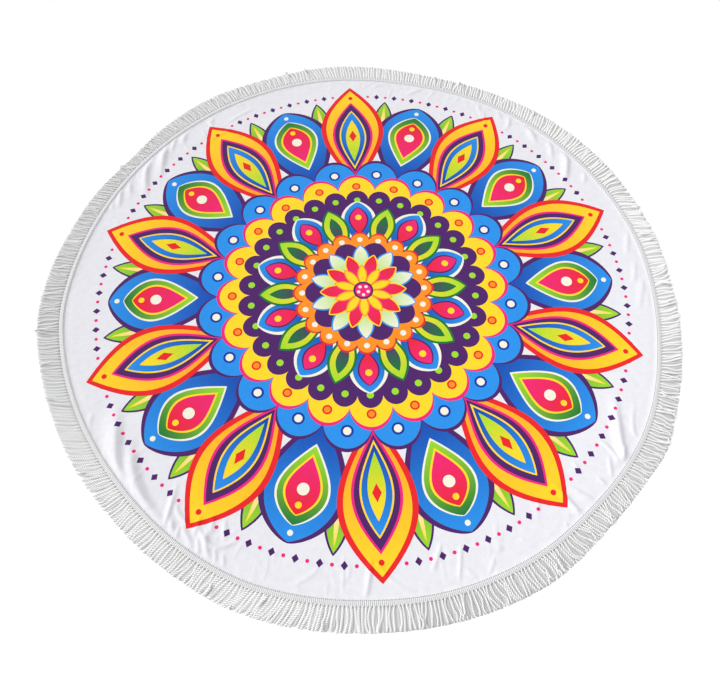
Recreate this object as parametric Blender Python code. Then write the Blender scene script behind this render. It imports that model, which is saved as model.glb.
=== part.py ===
"""Round beach towel, laid out face up: a hemmed round cloth, and the corded fringe trim sewn round its edge.

Metres, +Z up, with the surface that it lies on at z = 0. The origin is under the middle of the cloth, and
+Y is the far side. A bearing is an angle in degrees, counted from +X towards +Y.
"""

import math
import random
from collections import namedtuple

import bmesh
import bpy
from mathutils import Vector, geometry

CLOTH_THICKNESS = 0.0018     # looped pile and ground weave, pressed by its own weight
LAP = 0.006                  # how far the trim's heading laps over the cloth's hem
HEADING_WIDTH = 0.0105       # woven tape that carries the cords, from its seam to the cords' roots
HEADING_THICKNESS = 0.0042   # the tape where it stands beside the hem, level with its cords
GAP = 0.0003                 # clearance between the two sewn pieces

STRANDS = 288                # each is a pair of cords that lie together
STRANDS_PER_STATION = 3      # the cloth's edge has one straight stretch for every three strands
STRAND_ROOT_WIDTH = 0.0105
STRAND_TIP_WIDTH = 0.0084
STRAND_TOP_SHARE = 0.55      # a strand's top is narrower than the side that lies on the floor
STRAND_TIP_HEIGHT = 0.0034
STRAND_STEPS = (0.34, 0.70, 1.0)   # where along its length a strand bends
LEAN_CURVE = 1.35            # over 1, a strand leaves its heading square and leans further out
TIP_JITTER = 0.0010          # uneven length and side lean of single strands
JITTER_SEED = 11

CLOTH_COLOR = (0.80, 0.81, 0.84)   # cool white towelling
CLOTH_ROUGHNESS = 0.9
TRIM_COLOR = (0.83, 0.82, 0.80)    # warmer undyed cotton
TRIM_ROUGHNESS = 0.85

# The towel's rim as it lies, pulled a little out of round. Columns: the bearing in degrees; the radius of
# the heading's seam and the fringe's length, both in mm; and how many degrees the tips lean past their roots.
Rim = namedtuple("Rim", "bearing seam fringe lean")
RIM = [Rim(*row) for row in (
    (0, 697, 40, 0.7), (10, 700, 43, -0.3), (17, 700, 43, -1.6), (25, 700, 46, 0.3),
    (37, 700, 47, 0.5), (44, 700, 45, 1.3), (56, 699, 38, 0.8), (70, 694, 35, 0.1),
    (78, 694, 39, 0.3), (86, 698, 43, 0.1), (95, 702, 43, 0.7), (110, 702, 39, 0.1),
    (121, 701, 45, 0.2), (132, 699, 39, 0.6), (143, 698, 29, 0.9), (154, 698, 39, 0.6),
    (163, 699, 41, 0.1), (172, 702, 48, -0.1), (182, 706, 49, 0.0), (192, 700, 46, -0.9),
    (203, 692, 45, -2.1), (214, 687, 45, -2.4), (222, 687, 44, -0.3), (233, 691, 43, -0.4),
    (246, 696, 46, -1.2), (254, 694, 47, -1.6), (261, 692, 46, -0.4), (268, 691, 47, 0.2),
    (280, 694, 46, -0.2), (288, 695, 46, 0.6), (297, 696, 46, 0.2), (307, 694, 40, 0.8),
    (312, 695, 40, -0.8), (319, 698, 42, 0.1), (325, 700, 48, 0.8), (332, 699, 43, -0.2),
    (344, 694, 43, 1.4), (353, 695, 42, 1.0),
)]

# The cloth's main folds, all of them raised: most of them run in from the hem and die out under the print.
# Columns: bearing in degrees and radius in mm of the crest's end near the hem, of the point where it bends,
# and of its far end; then its height and its half width in mm.
Fold = namedtuple("Fold", "bearing0 radius0 bearing1 radius1 bearing2 radius2 height half_width")
FOLDS = [Fold(*row) for row in (
    (216, 682, 210, 660, 200, 612, 8.0, 24),
    (226, 679, 218, 653, 209, 604, 6.5, 21),
    (230, 676, 229, 650, 226, 590, 4.5, 13),
    (236, 674, 234, 655, 232, 636, 3.5, 12),
    (240, 682, 238, 655, 237, 610, 3.5, 13),
    (241, 656, 243, 648, 244, 622, 2.5, 11),
    (266, 686, 267, 650, 268, 590, 3.5, 12),
    (284, 684, 282, 650, 281, 600, 2.5, 14),
    (307, 688, 307, 650, 307, 592, 4.5, 14),
    (311, 686, 309, 650, 309, 615, 3.5, 13),
    (320, 686, 324, 648, 331, 596, 6.5, 20),
    (327, 684, 328, 664, 334, 652, 3.0, 14),
    (356, 690, 353, 672, 349, 650, 2.5, 18),
    (9, 690, 5, 668, 1, 640, 2.5, 18),
    (34, 686, 31, 655, 26, 600, 6.0, 17),
    (40, 686, 37, 658, 33, 620, 4.5, 15),
    (46, 688, 43, 666, 39, 630, 4.0, 16),
    (51, 690, 49, 660, 48, 625, 2.5, 14),
    (80, 686, 83, 662, 86, 640, 2.5, 16),
    (116, 680, 121, 660, 130, 646, 3.0, 16),
    (131, 690, 134, 672, 137, 650, 3.5, 14),
    (137, 690, 141, 658, 147, 615, 5.5, 16),
    (143, 690, 148, 656, 155, 606, 5.5, 16),
    (149, 690, 153, 662, 158, 630, 4.0, 15),
)]
FOLD_FADE = 0.45             # the share of a fold's length over which its far end dies out
HEM_FADE = 0.018             # the folds flatten out this far before the seam

# Where the cloth's mesh has its points. Rings from the hem inwards, as a share of the edge's radius, with how
# many stations each has, and rows beside each crest, as shares of the fold's half width.
EDGE_STATIONS = STRANDS // STRANDS_PER_STATION
CLOTH_RINGS = ((0.955, EDGE_STATIONS // 2), (0.88, EDGE_STATIONS // 2), (0.76, EDGE_STATIONS // 2),
               (0.58, EDGE_STATIONS // 4), (0.36, EDGE_STATIONS // 4), (0.14, EDGE_STATIONS // 8))
FOLD_ROWS = (0.0, 0.3, -0.3, 0.65, -0.65, 1.0, -1.0)
FOLD_STEP = 0.9              # the space between points along a fold, as a share of its half width
CREST_STEPS = 8              # the straight stretches that make up a crest's curve
CLEAR_OF_POINT = 0.0045      # a point nearer than this to an earlier one is left out
FLAT_HEM = 0.001             # the cloth stays flat under the heading, and this far inside its seam
INSIDE_OUTLINE = 1           # Blender's number for a triangulation that stays inside its outline
SAME_POINT = 1e-6


def along_rim(bearing, column):
    """A smooth value of one of the rim's columns at any bearing."""
    rows = RIM[-2:] + RIM + RIM[:3]
    turns = [-360] * 2 + [0] * len(RIM) + [360] * 3
    places = [row.bearing + turn for row, turn in zip(rows, turns)]
    values = [getattr(row, column) for row in rows]
    bearing %= 360
    i = max(k for k in range(1, len(rows) - 2) if places[k] <= bearing)
    span = places[i + 1] - places[i]
    t = (bearing - places[i]) / span
    slope0 = (values[i + 1] - values[i - 1]) / (places[i + 1] - places[i - 1]) * span
    slope1 = (values[i + 2] - values[i]) / (places[i + 2] - places[i]) * span
    return ((2 * t ** 3 - 3 * t ** 2 + 1) * values[i] + (t ** 3 - 2 * t ** 2 + t) * slope0
            + (3 * t ** 2 - 2 * t ** 3) * values[i + 1] + (t ** 3 - t ** 2) * slope1)


def seam_radius(bearing):
    return along_rim(bearing, "seam") / 1000


def inside_seam(place):
    """How far inside the heading's seam a place is."""
    return seam_radius(math.degrees(math.atan2(place.y, place.x))) - place.length


def polar(bearing, radius, z=0.0):
    angle = math.radians(bearing)
    return (radius * math.cos(angle), radius * math.sin(angle), z)


def smooth(t):
    t = min(max(t, 0.0), 1.0)
    return t * t * (3 - 2 * t)


def crest_curve(fold):
    """The crest's plan: a smooth curve that runs through the fold's three points."""
    ends = ((fold.bearing0, fold.radius0), (fold.bearing1, fold.radius1), (fold.bearing2, fold.radius2))
    first, bend, last = (Vector(polar(bearing, radius / 1000)[:2]) for bearing, radius in ends)
    pull = 2 * bend - (first + last) / 2
    shares = [k / CREST_STEPS for k in range(CREST_STEPS + 1)]
    return [(1 - t) ** 2 * first + 2 * t * (1 - t) * pull + t ** 2 * last for t in shares]


def nearest_on_crest(crest, place):
    """The distance from a place to a fold's crest, and how far along the crest that is, from 0 to 1."""
    best = (math.inf, 0.0)
    for k, (start, end) in enumerate(zip(crest, crest[1:])):
        t = geometry.intersect_point_line(place, start, end)[1]
        t = min(max(t, 0.0), 1.0)
        best = min(best, ((place - start.lerp(end, t)).length, (k + t) / CREST_STEPS))
    return best


CRESTS = [(fold, crest_curve(fold)) for fold in FOLDS]


def lift(place):
    """How far the folds raise the cloth above the floor at a place."""
    height = 0.0
    for fold, crest in CRESTS:
        distance, along = nearest_on_crest(crest, place)
        half_width = fold.half_width / 1000
        if distance < half_width:
            across = math.cos(math.pi / 2 * distance / half_width) ** 2
            height = max(height, fold.height / 1000 * across * smooth((1 - along) / FOLD_FADE))
    return height * smooth((inside_seam(place) - FLAT_HEM) / HEM_FADE)


def cloth_points():
    """The cloth's edge, its line under the seam, then points along and beside each crest and in rings."""
    bearings = [360 * k / EDGE_STATIONS for k in range(EDGE_STATIONS)]
    edge = [Vector(polar(bearing, seam_radius(bearing) + LAP)[:2]) for bearing in bearings]
    seam = [Vector(polar(bearing, seam_radius(bearing) - FLAT_HEM)[:2]) for bearing in bearings]
    wanted = []
    for row in FOLD_ROWS:
        for fold, crest in CRESTS:
            half_width = fold.half_width / 1000
            length = sum((b - a).length for a, b in zip(crest, crest[1:]))
            steps = max(2, round(length / (FOLD_STEP * half_width)))
            for k in range(steps + 1):
                along = k / steps * CREST_STEPS
                stretch = min(int(along), CREST_STEPS - 1)
                start, end = crest[stretch], crest[stretch + 1]
                side = (end - start).orthogonal().normalized()
                wanted.append(start.lerp(end, along - stretch) + side * row * half_width)
    for share, stations in CLOTH_RINGS:
        for k in range(stations):
            bearing = 360 * (k + 0.5) / stations
            wanted.append(Vector(polar(bearing, share * (seam_radius(bearing) + LAP))[:2]))
    inside = []
    for place in wanted:
        if inside_seam(place) > CLEAR_OF_POINT:
            if all((place - other).length > CLEAR_OF_POINT for other in inside):
                inside.append(place)
    return edge + seam + inside


def join_rings(bm, outer, inner):
    """Faces from a ring to one inside it that has as many points, or a whole fraction of them."""
    step = len(outer) // len(inner)
    for k in range(len(inner)):
        outside = [outer[(k * step + j) % len(outer)] for j in range(step + 1)]
        bm.faces.new(outside + [inner[(k + 1) % len(inner)], inner[k]])


def finished_object(name, bm, color, roughness):
    mesh = bpy.data.meshes.new(name)
    bm.to_mesh(mesh)
    bm.free()
    material = bpy.data.materials.new(name)
    material.use_nodes = True
    shader = material.node_tree.nodes["Principled BSDF"]
    shader.inputs["Base Color"].default_value = (*color, 1.0)
    shader.inputs["Roughness"].default_value = roughness
    shader.inputs["Metallic"].default_value = 0.0
    mesh.materials.append(material)
    piece = bpy.data.objects.new(name, mesh)
    bpy.context.scene.collection.objects.link(piece)
    return piece


def make_cloth():
    """The cloth and its turned hem: a sheet of even thickness that rises off the floor only at its folds."""
    points = cloth_points()
    loop = [(k, (k + 1) % EDGE_STATIONS) for k in range(EDGE_STATIONS)]
    loops = loop + [(start + EDGE_STATIONS, end + EDGE_STATIONS) for start, end in loop]
    places, _, faces, *_ = geometry.delaunay_2d_cdt(points, loops, [], INSIDE_OUTLINE, SAME_POINT)
    bm = bmesh.new()
    verts = [bm.verts.new((place.x, place.y, lift(place))) for place in places]
    for face in faces:
        bm.faces.new([verts[k] for k in face])
    cloth = finished_object("cloth", bm, CLOTH_COLOR, CLOTH_ROUGHNESS)
    thickness = cloth.modifiers.new("thickness", "SOLIDIFY")
    thickness.thickness = CLOTH_THICKNESS
    thickness.offset = 1.0
    return cloth


def make_fringe_trim():
    """The heading tape, lapped over the hem by its inner side, with its strands' roots fused into it."""
    bm = bmesh.new()
    chance = random.Random(JITTER_SEED)
    lap_underside = CLOTH_THICKNESS + GAP
    half_root = math.degrees(STRAND_ROOT_WIDTH / 2 / (seam_radius(0) + HEADING_WIDTH))

    def ring(bearings, offset, z):
        return [bm.verts.new(polar(bearing, seam_radius(bearing) + offset, z)) for bearing in bearings]

    stations = [360 * k / EDGE_STATIONS for k in range(EDGE_STATIONS)]
    roots = []
    for k in range(STRANDS):
        middle = 360 * (k + 0.5) / STRANDS
        roots += [middle - half_root, middle + half_root]

    inner_top = ring(stations, 0.0, HEADING_THICKNESS)
    inner_bottom = ring(stations, 0.0, lap_underside)
    step_top = ring(stations, LAP + GAP, lap_underside)
    step_bottom = ring(stations, LAP + GAP, 0.0)
    outer_bottom = ring(roots, HEADING_WIDTH, 0.0)
    outer_top = ring(roots, HEADING_WIDTH, HEADING_THICKNESS)

    join_rings(bm, inner_bottom, inner_top)
    join_rings(bm, step_top, inner_bottom)
    join_rings(bm, step_bottom, step_top)
    # Each stretch of the tape runs from the gap before its first strand to the gap before the next stretch's.
    for wide, narrow in ((outer_bottom, step_bottom), (outer_top, inner_top)):
        step = len(wide) // len(narrow)
        for k in range(len(narrow)):
            outside = [wide[(k * step + j) % len(wide)] for j in range(-1, step)]
            stretch = [narrow[k]] + outside[1:] + [narrow[(k + 1) % len(narrow)]]
            bm.faces.new(stretch)
            bm.faces.new((outside[0], outside[1], narrow[k]))

    for k in range(STRANDS):
        left, right, after = 2 * k, 2 * k + 1, (2 * k + 2) % len(roots)
        bm.faces.new((outer_bottom[right], outer_bottom[after], outer_top[after], outer_top[right]))
        middle = 360 * (k + 0.5) / STRANDS
        longer, aside = (chance.uniform(-TIP_JITTER, TIP_JITTER) for _ in range(2))
        length = along_rim(middle, "fringe") / 1000 + longer
        lean = along_rim(middle, "lean") + math.degrees(aside / seam_radius(middle))
        section = [outer_bottom[left], outer_bottom[right], outer_top[right], outer_top[left]]
        for t in STRAND_STEPS:
            bearing = middle + lean * t ** LEAN_CURVE
            radius = seam_radius(middle) + HEADING_WIDTH + length * t
            half = (STRAND_ROOT_WIDTH + (STRAND_TIP_WIDTH - STRAND_ROOT_WIDTH) * t) / 2
            height = HEADING_THICKNESS + (STRAND_TIP_HEIGHT - HEADING_THICKNESS) * t
            wide = math.degrees(half / radius)
            narrow = wide * STRAND_TOP_SHARE
            corners = ((-wide, 0.0), (wide, 0.0), (narrow, height), (-narrow, height))
            following = [bm.verts.new(polar(bearing + side, radius, z)) for side, z in corners]
            join_rings(bm, section, following)
            section = following
        bm.faces.new(section)
    bmesh.ops.triangulate(bm, faces=bm.faces[:])
    bmesh.ops.recalc_face_normals(bm, faces=bm.faces[:])
    return finished_object("fringe_trim", bm, TRIM_COLOR, TRIM_ROUGHNESS)


for old in list(bpy.data.objects):
    bpy.data.objects.remove(old, do_unlink=True)
make_cloth()
make_fringe_trim()
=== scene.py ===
"""Round beach towel, laid out face up on a pale floor: a printed cloth with soft folds, and its corded trim.

Metres, +Z up, the floor at z = 0, +Y the far side. A bearing is in degrees, counted from +X towards +Y.
"""

import math
from collections import namedtuple

import bpy
import numpy as np
from mathutils import Matrix, Vector


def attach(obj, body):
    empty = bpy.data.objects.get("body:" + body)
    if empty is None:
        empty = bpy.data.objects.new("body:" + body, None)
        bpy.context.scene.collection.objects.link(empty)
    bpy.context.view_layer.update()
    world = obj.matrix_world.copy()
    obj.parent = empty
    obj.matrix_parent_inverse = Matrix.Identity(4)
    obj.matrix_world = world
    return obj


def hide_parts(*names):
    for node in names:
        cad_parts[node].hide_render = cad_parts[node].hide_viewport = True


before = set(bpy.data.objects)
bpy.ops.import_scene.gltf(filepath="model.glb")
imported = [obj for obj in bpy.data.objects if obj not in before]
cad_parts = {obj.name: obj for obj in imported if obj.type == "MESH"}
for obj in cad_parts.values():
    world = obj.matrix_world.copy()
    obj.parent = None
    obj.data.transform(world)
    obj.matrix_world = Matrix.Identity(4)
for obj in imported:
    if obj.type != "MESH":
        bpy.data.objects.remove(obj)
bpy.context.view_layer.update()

# ---------------------------------------------------------------------------------------------------------
# The cloth: one round panel of short-pile towelling, cut, hemmed, and then pulled a little out of round by
# the trim. It lies flat, with soft folds that run in from the hem, and smaller creases left by its packing.
# ---------------------------------------------------------------------------------------------------------

# The towel's rim as it lies. Columns: the bearing in degrees; the radius of the heading's seam and the
# fringe's length, both in mm; and how many degrees the cords' tips lean past their roots.
Rim = namedtuple("Rim", "bearing seam fringe lean")
RIM = [Rim(*row) for row in (
    (0, 693.7, 42.8, 0.7), (10, 696.2, 46.3, -0.3), (17, 695.7, 46.3, -1.6), (25, 695.4, 50.1, 0.3),
    (37, 694.8, 50.7, 0.5), (44, 694.6, 48.4, 1.3), (56, 692.9, 41.1, 0.8), (70, 687.2, 39.8, 0.1),
    (78, 686.6, 43.4, 0.3), (86, 690.4, 47.1, 0.1), (95, 694.4, 48.1, 0.7), (110, 694.8, 43.7, 0.1),
    (121, 694.2, 49.8, 0.2), (132, 692.7, 44.3, 0.6), (143, 692.2, 33.8, 0.9), (154, 692.8, 43.2, 0.6),
    (163, 694.4, 45.6, 0.1), (172, 698, 51, -0.1), (182, 702.7, 52.3, 0.0), (192, 697.6, 50.4, -0.9),
    (203, 690.5, 50.5, -2.1), (214, 686.1, 50.9, -2.4), (222, 686.5, 47.5, -0.3), (233, 690.7, 45.8, -0.4),
    (246, 695.9, 46.6, -1.2), (254, 694, 49.5, -1.6), (261, 692, 49, -0.4), (268, 691, 48.5, 0.2),
    (280, 694, 46.5, -0.2), (288, 695, 48, 0.6), (297, 695.9, 47.1, 0.2), (307, 693.7, 40.8, 0.8),
    (312, 694.5, 40.5, -0.8), (319, 697.8, 41.7, 0.1), (325, 700.1, 47.9, 0.8), (332, 699.1, 43.4, -0.2),
    (344, 692.9, 46.1, 1.4), (353, 692.5, 44.5, 1.0),
)]

# The main folds, and then the lesser creases. Columns: bearing in degrees and radius in mm of the crest's
# end near the hem, of the point where it bends, and of its far end; then its height and half width in mm.
Fold = namedtuple("Fold", "bearing0 radius0 bearing1 radius1 bearing2 radius2 height half_width")
FOLDS = [Fold(*row) for row in (
    (220, 688, 213.5, 656, 203, 604, 8.4, 30),
    (229.3, 688, 220.5, 659, 211.5, 610, 7.8, 26),
    (230.6, 682, 229.4, 652, 226, 590, 4.3, 10),
    (233.2, 690, 231.8, 675, 229.8, 655, 5.3, 12),
    (236.6, 684, 234.6, 670, 232.3, 660, 3.8, 10),
    (240.6, 688, 238.3, 662, 237, 628, 4.1, 11),
    (267, 690, 267.7, 650, 268.4, 596, 3.0, 9),
    (291.5, 654, 288.5, 637, 285.5, 624, 2.2, 11),
    (306.9, 690, 307.1, 650, 307.4, 592, 4.1, 12),
    (310.8, 690, 309.7, 664, 309, 630, 3.0, 11),
    (320.4, 689, 324.6, 653, 333, 611, 6.0, 19),
    (325.5, 688, 327.5, 672, 333, 661, 2.2, 9),
    (358.5, 674, 355.5, 663, 351.5, 653, 1.5, 12),
    (11, 687, 8.6, 673, 5.6, 657, 2.1, 10),
    (34.6, 690, 31.8, 659, 27.5, 610, 5.5, 17),
    (39.8, 692, 37.8, 671, 35.0, 643, 3.1, 12),
    (46.4, 693, 43.8, 676, 40.3, 652, 3.7, 14),
    (51.6, 692, 49.7, 668, 49.5, 628, 2.2, 10),
    (80.6, 690, 82.8, 675, 85.2, 655, 2.1, 10),
    (123, 692, 124.3, 680, 125.5, 658, 2.4, 12),
    (129.3, 694, 132, 680, 134.5, 652, 4.0, 15),
    (136.3, 693, 139, 670, 147, 611, 5.5, 18),
    (141.2, 690, 145.3, 666, 152.5, 606, 5.5, 18),
    (147.5, 692, 149.8, 678, 153, 648, 3.3, 12),
)]
CREASES = [Fold(*row) for row in (
    (207.5, 688, 206.0, 678, 204.0, 664, 1.6, 8),
    (217.0, 688, 214.5, 684, 211.5, 677, 2.2, 7),
    (223.6, 686, 222.0, 674, 220.6, 664, 2.0, 7),
    (229.3, 632, 231.5, 648, 235.0, 651, 3.6, 8),
    (233.8, 690, 233.2, 676, 232.6, 664, 3.4, 6),
    (235.9, 664, 235.4, 645, 234.8, 622, 3.1, 7),
    (238.5, 690, 237.6, 676, 236.4, 660, 3.4, 6),
    (233.6, 628, 239.5, 662, 243.8, 622, 4.0, 7),
    (241.6, 692, 241.0, 676, 239.8, 662, 3.1, 6),
    (243.2, 690, 242.6, 676, 241.6, 664, 2.5, 6),
    (238.6, 648, 237.6, 628, 236.6, 604, 2.3, 8),
    (241.4, 648, 240.2, 626, 239.0, 602, 2.3, 8),
    (254.0, 684, 257.0, 660, 259.5, 628, 1.4, 8),
    (263.4, 690, 263.2, 645, 263.0, 600, 1.3, 5),
    (275.6, 685, 271.6, 656, 268.4, 604, 2.1, 6),
    (278.6, 655, 280.2, 628, 282.0, 600, 2.4, 8),
    (282.4, 686, 283.8, 652, 285.4, 610, 2.1, 6),
    (286.0, 690, 285.0, 676, 284.2, 662, 1.4, 7),
    (287.5, 691, 288.8, 676, 290.2, 660, 1.7, 6),
    (297.5, 686, 296.0, 668, 295.5, 650, 1.1, 8),
    (303.4, 693, 303.8, 684, 304.0, 676, 1.7, 5),
    (301.0, 640, 302.0, 622, 303.2, 606, 1.5, 8),
    (313.9, 692, 314.2, 678, 314.1, 662, 2.2, 6),
    (312.6, 640, 313.2, 622, 313.6, 606, 2.2, 6),
    (315.6, 692, 317.4, 674, 319.4, 658, 2.5, 6),
    (318.4, 689, 320.2, 660, 320.6, 622, 2.7, 7),
    (319.6, 693, 321.0, 683, 323.0, 675, 2.5, 7),
    (357.5, 686, 355.0, 681, 352.5, 678, 1.0, 6),
    (4.8, 674, 1.5, 664, -1.5, 651, 1.7, 9),
    (28.9, 691, 27.4, 677, 26.0, 660, 2.4, 9),
    (57.2, 674, 55.4, 646, 53.7, 620, 2.0, 7),
    (59.2, 686, 57.3, 662, 55.6, 634, 1.7, 6),
    (60.9, 697, 60.0, 688, 59.0, 678, 1.7, 6),
    (53.8, 690, 53.0, 678, 51.6, 664, 1.6, 8),
    (71.8, 686, 74.0, 666, 76.4, 644, 2.3, 9),
    (83.6, 688, 85.2, 676, 87.0, 662, 1.2, 7),
    (90.5, 679, 95.0, 683, 99.5, 681, 1.2, 5),
    (92.0, 690, 97.0, 693, 102.0, 691, 1.0, 4),
    (104.5, 688, 106.2, 691, 108.2, 687, 1.4, 6),
    (115.0, 675, 118.0, 693, 122.0, 694, 2.3, 9),
    (113.4, 655, 118.0, 651, 122.8, 641, 2.0, 7),
    (120.5, 617, 125.5, 620, 131.0, 616, 1.7, 7),
    (133.2, 695, 135.2, 679, 137.8, 659, 2.6, 9),
    (127.6, 668, 128.0, 655, 128.0, 640, 1.2, 7),
    (133.6, 656, 134.0, 642, 134.0, 628, 1.2, 6),
    (144.4, 693, 146.0, 682, 147.8, 668, 1.7, 7),
    (151.0, 694, 153.2, 680, 156.0, 664, 3.1, 11),
    (154.0, 694, 155.4, 686, 157.0, 676, 1.8, 8),
)]
SMALL_CREASES = 90           # the faintest creases, strewn by chance along the hem
CALM = ((98, 112), (160, 200), (340, 352))   # the bearings where the cloth is pulled smooth and has none
SMALL_RADII = (640, 690)     # where they start, and how long, high and wide they are, in mm
SMALL_LENGTHS = (18, 55)
SMALL_HEIGHTS = (0.3, 1.0)
SMALL_HALF_WIDTHS = (4, 8)
SMALL_DRIFT = 1.6            # how far they run aslant, and how far they bend, in degrees
SMALL_BOW = 0.4
CREST_STEPS = 8              # the straight stretches that make up a crest's curve
FOLD_FADE = 0.45             # the share of a fold's length over which its far end dies out
CREASE_FADE = 0.30           # the same for a crease, at both of its ends
FOLD_SKEW = 0.25             # a fold's right side is narrower than its left, and steeper, by this share
CRISPNESS = 0.45             # 0 gives rounded crests, 1 sharp ones
HEM_FADE = 0.018             # the folds flatten out this far before the seam, and the creases this far
CREASE_HEM_FADE = 0.006
FLAT_HEM = 0.001             # the cloth stays flat this far inside the seam

CLOTH_THICKNESS = 0.0018
LAP = 0.006                  # how far the trim's heading laps over the hem
UNDERSIDE_LIFT = 0.9         # the underside follows this share of each fold, so it stays below the face
WAVE_HEIGHT = 0.0016         # slack in the cloth, in waves between these two lengths
WAVE_LENGTHS = (0.055, 0.26)
WAVES = 26
PUCKER_HEIGHT = 0.0006       # gathers that the seam's thread draws up, and how far they reach in
PUCKER_PER_TURN = (90, 210)
PUCKERS = 12
PUCKER_START = 0.005
PUCKER_REACH = 0.034
HEM_RISE = 0.0015            # the turned hem under the heading is thicker, and the face climbs onto it
HEM_REACH = 0.013

# Rings of points from the edge inwards: the share of the edge's radius at which a band ends, the number of
# steps to it, and the points in each of its rings.
Band = namedtuple("Band", "ends_at steps points")
FACE_BANDS = [Band(0.82, 34, 1440), Band(0.42, 27, 480), Band(0.03, 20, 240)]
BACK_BANDS = [Band(0.82, 17, 720), Band(0.03, 25, 240)]


def along_rim(bearings, column):
    """Smooth values of one of the rim's columns at an array of bearings."""
    places = np.array([row.bearing for row in RIM], float)
    values = np.array([getattr(row, column) for row in RIM], float)
    places = np.concatenate((places[-2:] - 360, places, places[:3] + 360))
    values = np.concatenate((values[-2:], values, values[:3]))
    bearings = np.mod(bearings, 360)
    i = np.searchsorted(places, bearings, side="right") - 1
    span = places[i + 1] - places[i]
    t = (bearings - places[i]) / span
    slope0 = (values[i + 1] - values[i - 1]) / (places[i + 1] - places[i - 1]) * span
    slope1 = (values[i + 2] - values[i]) / (places[i + 2] - places[i]) * span
    return ((2 * t ** 3 - 3 * t ** 2 + 1) * values[i] + (t ** 3 - 2 * t ** 2 + t) * slope0
            + (3 * t ** 2 - 2 * t ** 3) * values[i + 1] + (t ** 3 - t ** 2) * slope1)


def seam_radius(bearings):
    return along_rim(bearings, "seam") / 1000


def polar(bearings, radii):
    angles = np.radians(bearings)
    return np.stack((radii * np.cos(angles), radii * np.sin(angles)), axis=-1)


def inside_seam(places):
    """How far inside the heading's seam each place is."""
    bearings = np.degrees(np.arctan2(places[:, 1], places[:, 0]))
    return seam_radius(bearings) - np.linalg.norm(places, axis=1)


def smooth(t):
    t = np.clip(t, 0.0, 1.0)
    return t * t * (3 - 2 * t)


def crest_curve(fold):
    """The crest's plan: a smooth curve that runs through the fold's three points."""
    bearings = np.array((fold.bearing0, fold.bearing1, fold.bearing2), float)
    radii = np.array((fold.radius0, fold.radius1, fold.radius2), float) / 1000
    first, bend, last = polar(bearings, radii)
    pull = 2 * bend - (first + last) / 2
    t = np.linspace(0, 1, CREST_STEPS + 1)[:, None]
    return (1 - t) ** 2 * first + 2 * t * (1 - t) * pull + t ** 2 * last


def raised(places, folds, near_fade, far_fade):
    """How far a set of folds lifts the cloth at each place."""
    cubes = np.zeros(len(places))
    for fold in folds:
        crest = crest_curve(fold)
        half_width = fold.half_width / 1000
        reach = half_width * (1 + FOLD_SKEW)
        close = (places > crest.min(0) - reach) & (places < crest.max(0) + reach)
        near = np.flatnonzero(close.all(1))
        spots = places[near]
        gap = np.full(len(near), np.inf)
        along = np.zeros(len(near))
        rightward = np.zeros(len(near))
        for k, (start, end) in enumerate(zip(crest, crest[1:])):
            stretch = end - start
            t = np.clip((spots - start) @ stretch / (stretch @ stretch), 0, 1)
            offset = spots - start - t[:, None] * stretch
            distance = np.linalg.norm(offset, axis=1)
            closer = distance < gap
            gap[closer] = distance[closer]
            along[closer] = (k + t[closer]) / CREST_STEPS
            rightward[closer] = offset[closer, 0] / np.maximum(distance[closer], 1e-9)
        across = np.clip(gap / (half_width * (1 - FOLD_SKEW * rightward)), 0, 1)
        profile = (1 - CRISPNESS) * np.cos(math.pi / 2 * across) ** 2 + CRISPNESS * (1 - across) ** 2
        fade = smooth((1 - along) / far_fade)
        if near_fade:
            fade = fade * smooth(along / near_fade)
        cubes[near] += (fold.height / 1000 * profile * fade) ** 3
    return np.cbrt(cubes)


def slack(places):
    """Low waves in the cloth where nothing holds it: between 0 and 1."""
    chance = np.random.default_rng(5)
    total = np.zeros(len(places))
    for _ in range(WAVES):
        heading, phase = chance.uniform(0, 2 * math.pi, 2)
        length = chance.uniform(*WAVE_LENGTHS)
        way = np.array((math.cos(heading), math.sin(heading))) * 2 * math.pi / length
        total += np.sin(places @ way + phase) * length / WAVE_LENGTHS[1]
    spread = total.std() * 2.5
    return np.clip(total / spread * 0.5 + 0.5, 0, 1)


def puckers(places):
    """Small gathers side by side along the seam: between 0 and 1."""
    chance = np.random.default_rng(8)
    bearings = np.arctan2(places[:, 1], places[:, 0])
    total = np.zeros(len(places))
    for _ in range(PUCKERS):
        total += np.sin(bearings * chance.integers(*PUCKER_PER_TURN) + chance.uniform(0, 2 * math.pi))
    return np.clip(total / math.sqrt(PUCKERS) * 0.5 + 0.5, 0, 1)


def strewn_creases():
    """Short faint creases near the hem, each lying roughly square to it."""
    chance = np.random.default_rng(31)
    creases = []
    while len(creases) < SMALL_CREASES:
        bearing = chance.uniform(0, 360)
        if any(start < bearing < end for start, end in CALM):
            continue
        radius = chance.uniform(*SMALL_RADII)
        length = chance.uniform(*SMALL_LENGTHS)
        drift = chance.normal(0, SMALL_DRIFT)
        bow = chance.normal(0, SMALL_BOW)
        height = chance.uniform(*SMALL_HEIGHTS)
        half_width = chance.uniform(*SMALL_HALF_WIDTHS)
        creases.append(Fold(bearing, radius, bearing + drift / 2 + bow, radius - length / 2, bearing + drift,
                            radius - length, height, half_width))
    return creases


def face_height(places):
    """The height of the printed face above the floor."""
    inside = inside_seam(places)
    free = smooth((inside - FLAT_HEM) / HEM_FADE)
    crease_free = smooth((inside - FLAT_HEM) / CREASE_HEM_FADE)
    gather = smooth(inside / PUCKER_START) * smooth(1 - inside / PUCKER_REACH)
    height = raised(places, FOLDS, 0, FOLD_FADE) * free
    height += raised(places, CREASES + strewn_creases(), CREASE_FADE, CREASE_FADE) * crease_free
    height += slack(places) * WAVE_HEIGHT * free + puckers(places) * PUCKER_HEIGHT * gather
    height += HEM_RISE * np.clip(1 - inside / HEM_REACH, 0, 1) ** 2
    return CLOTH_THICKNESS + height


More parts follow.
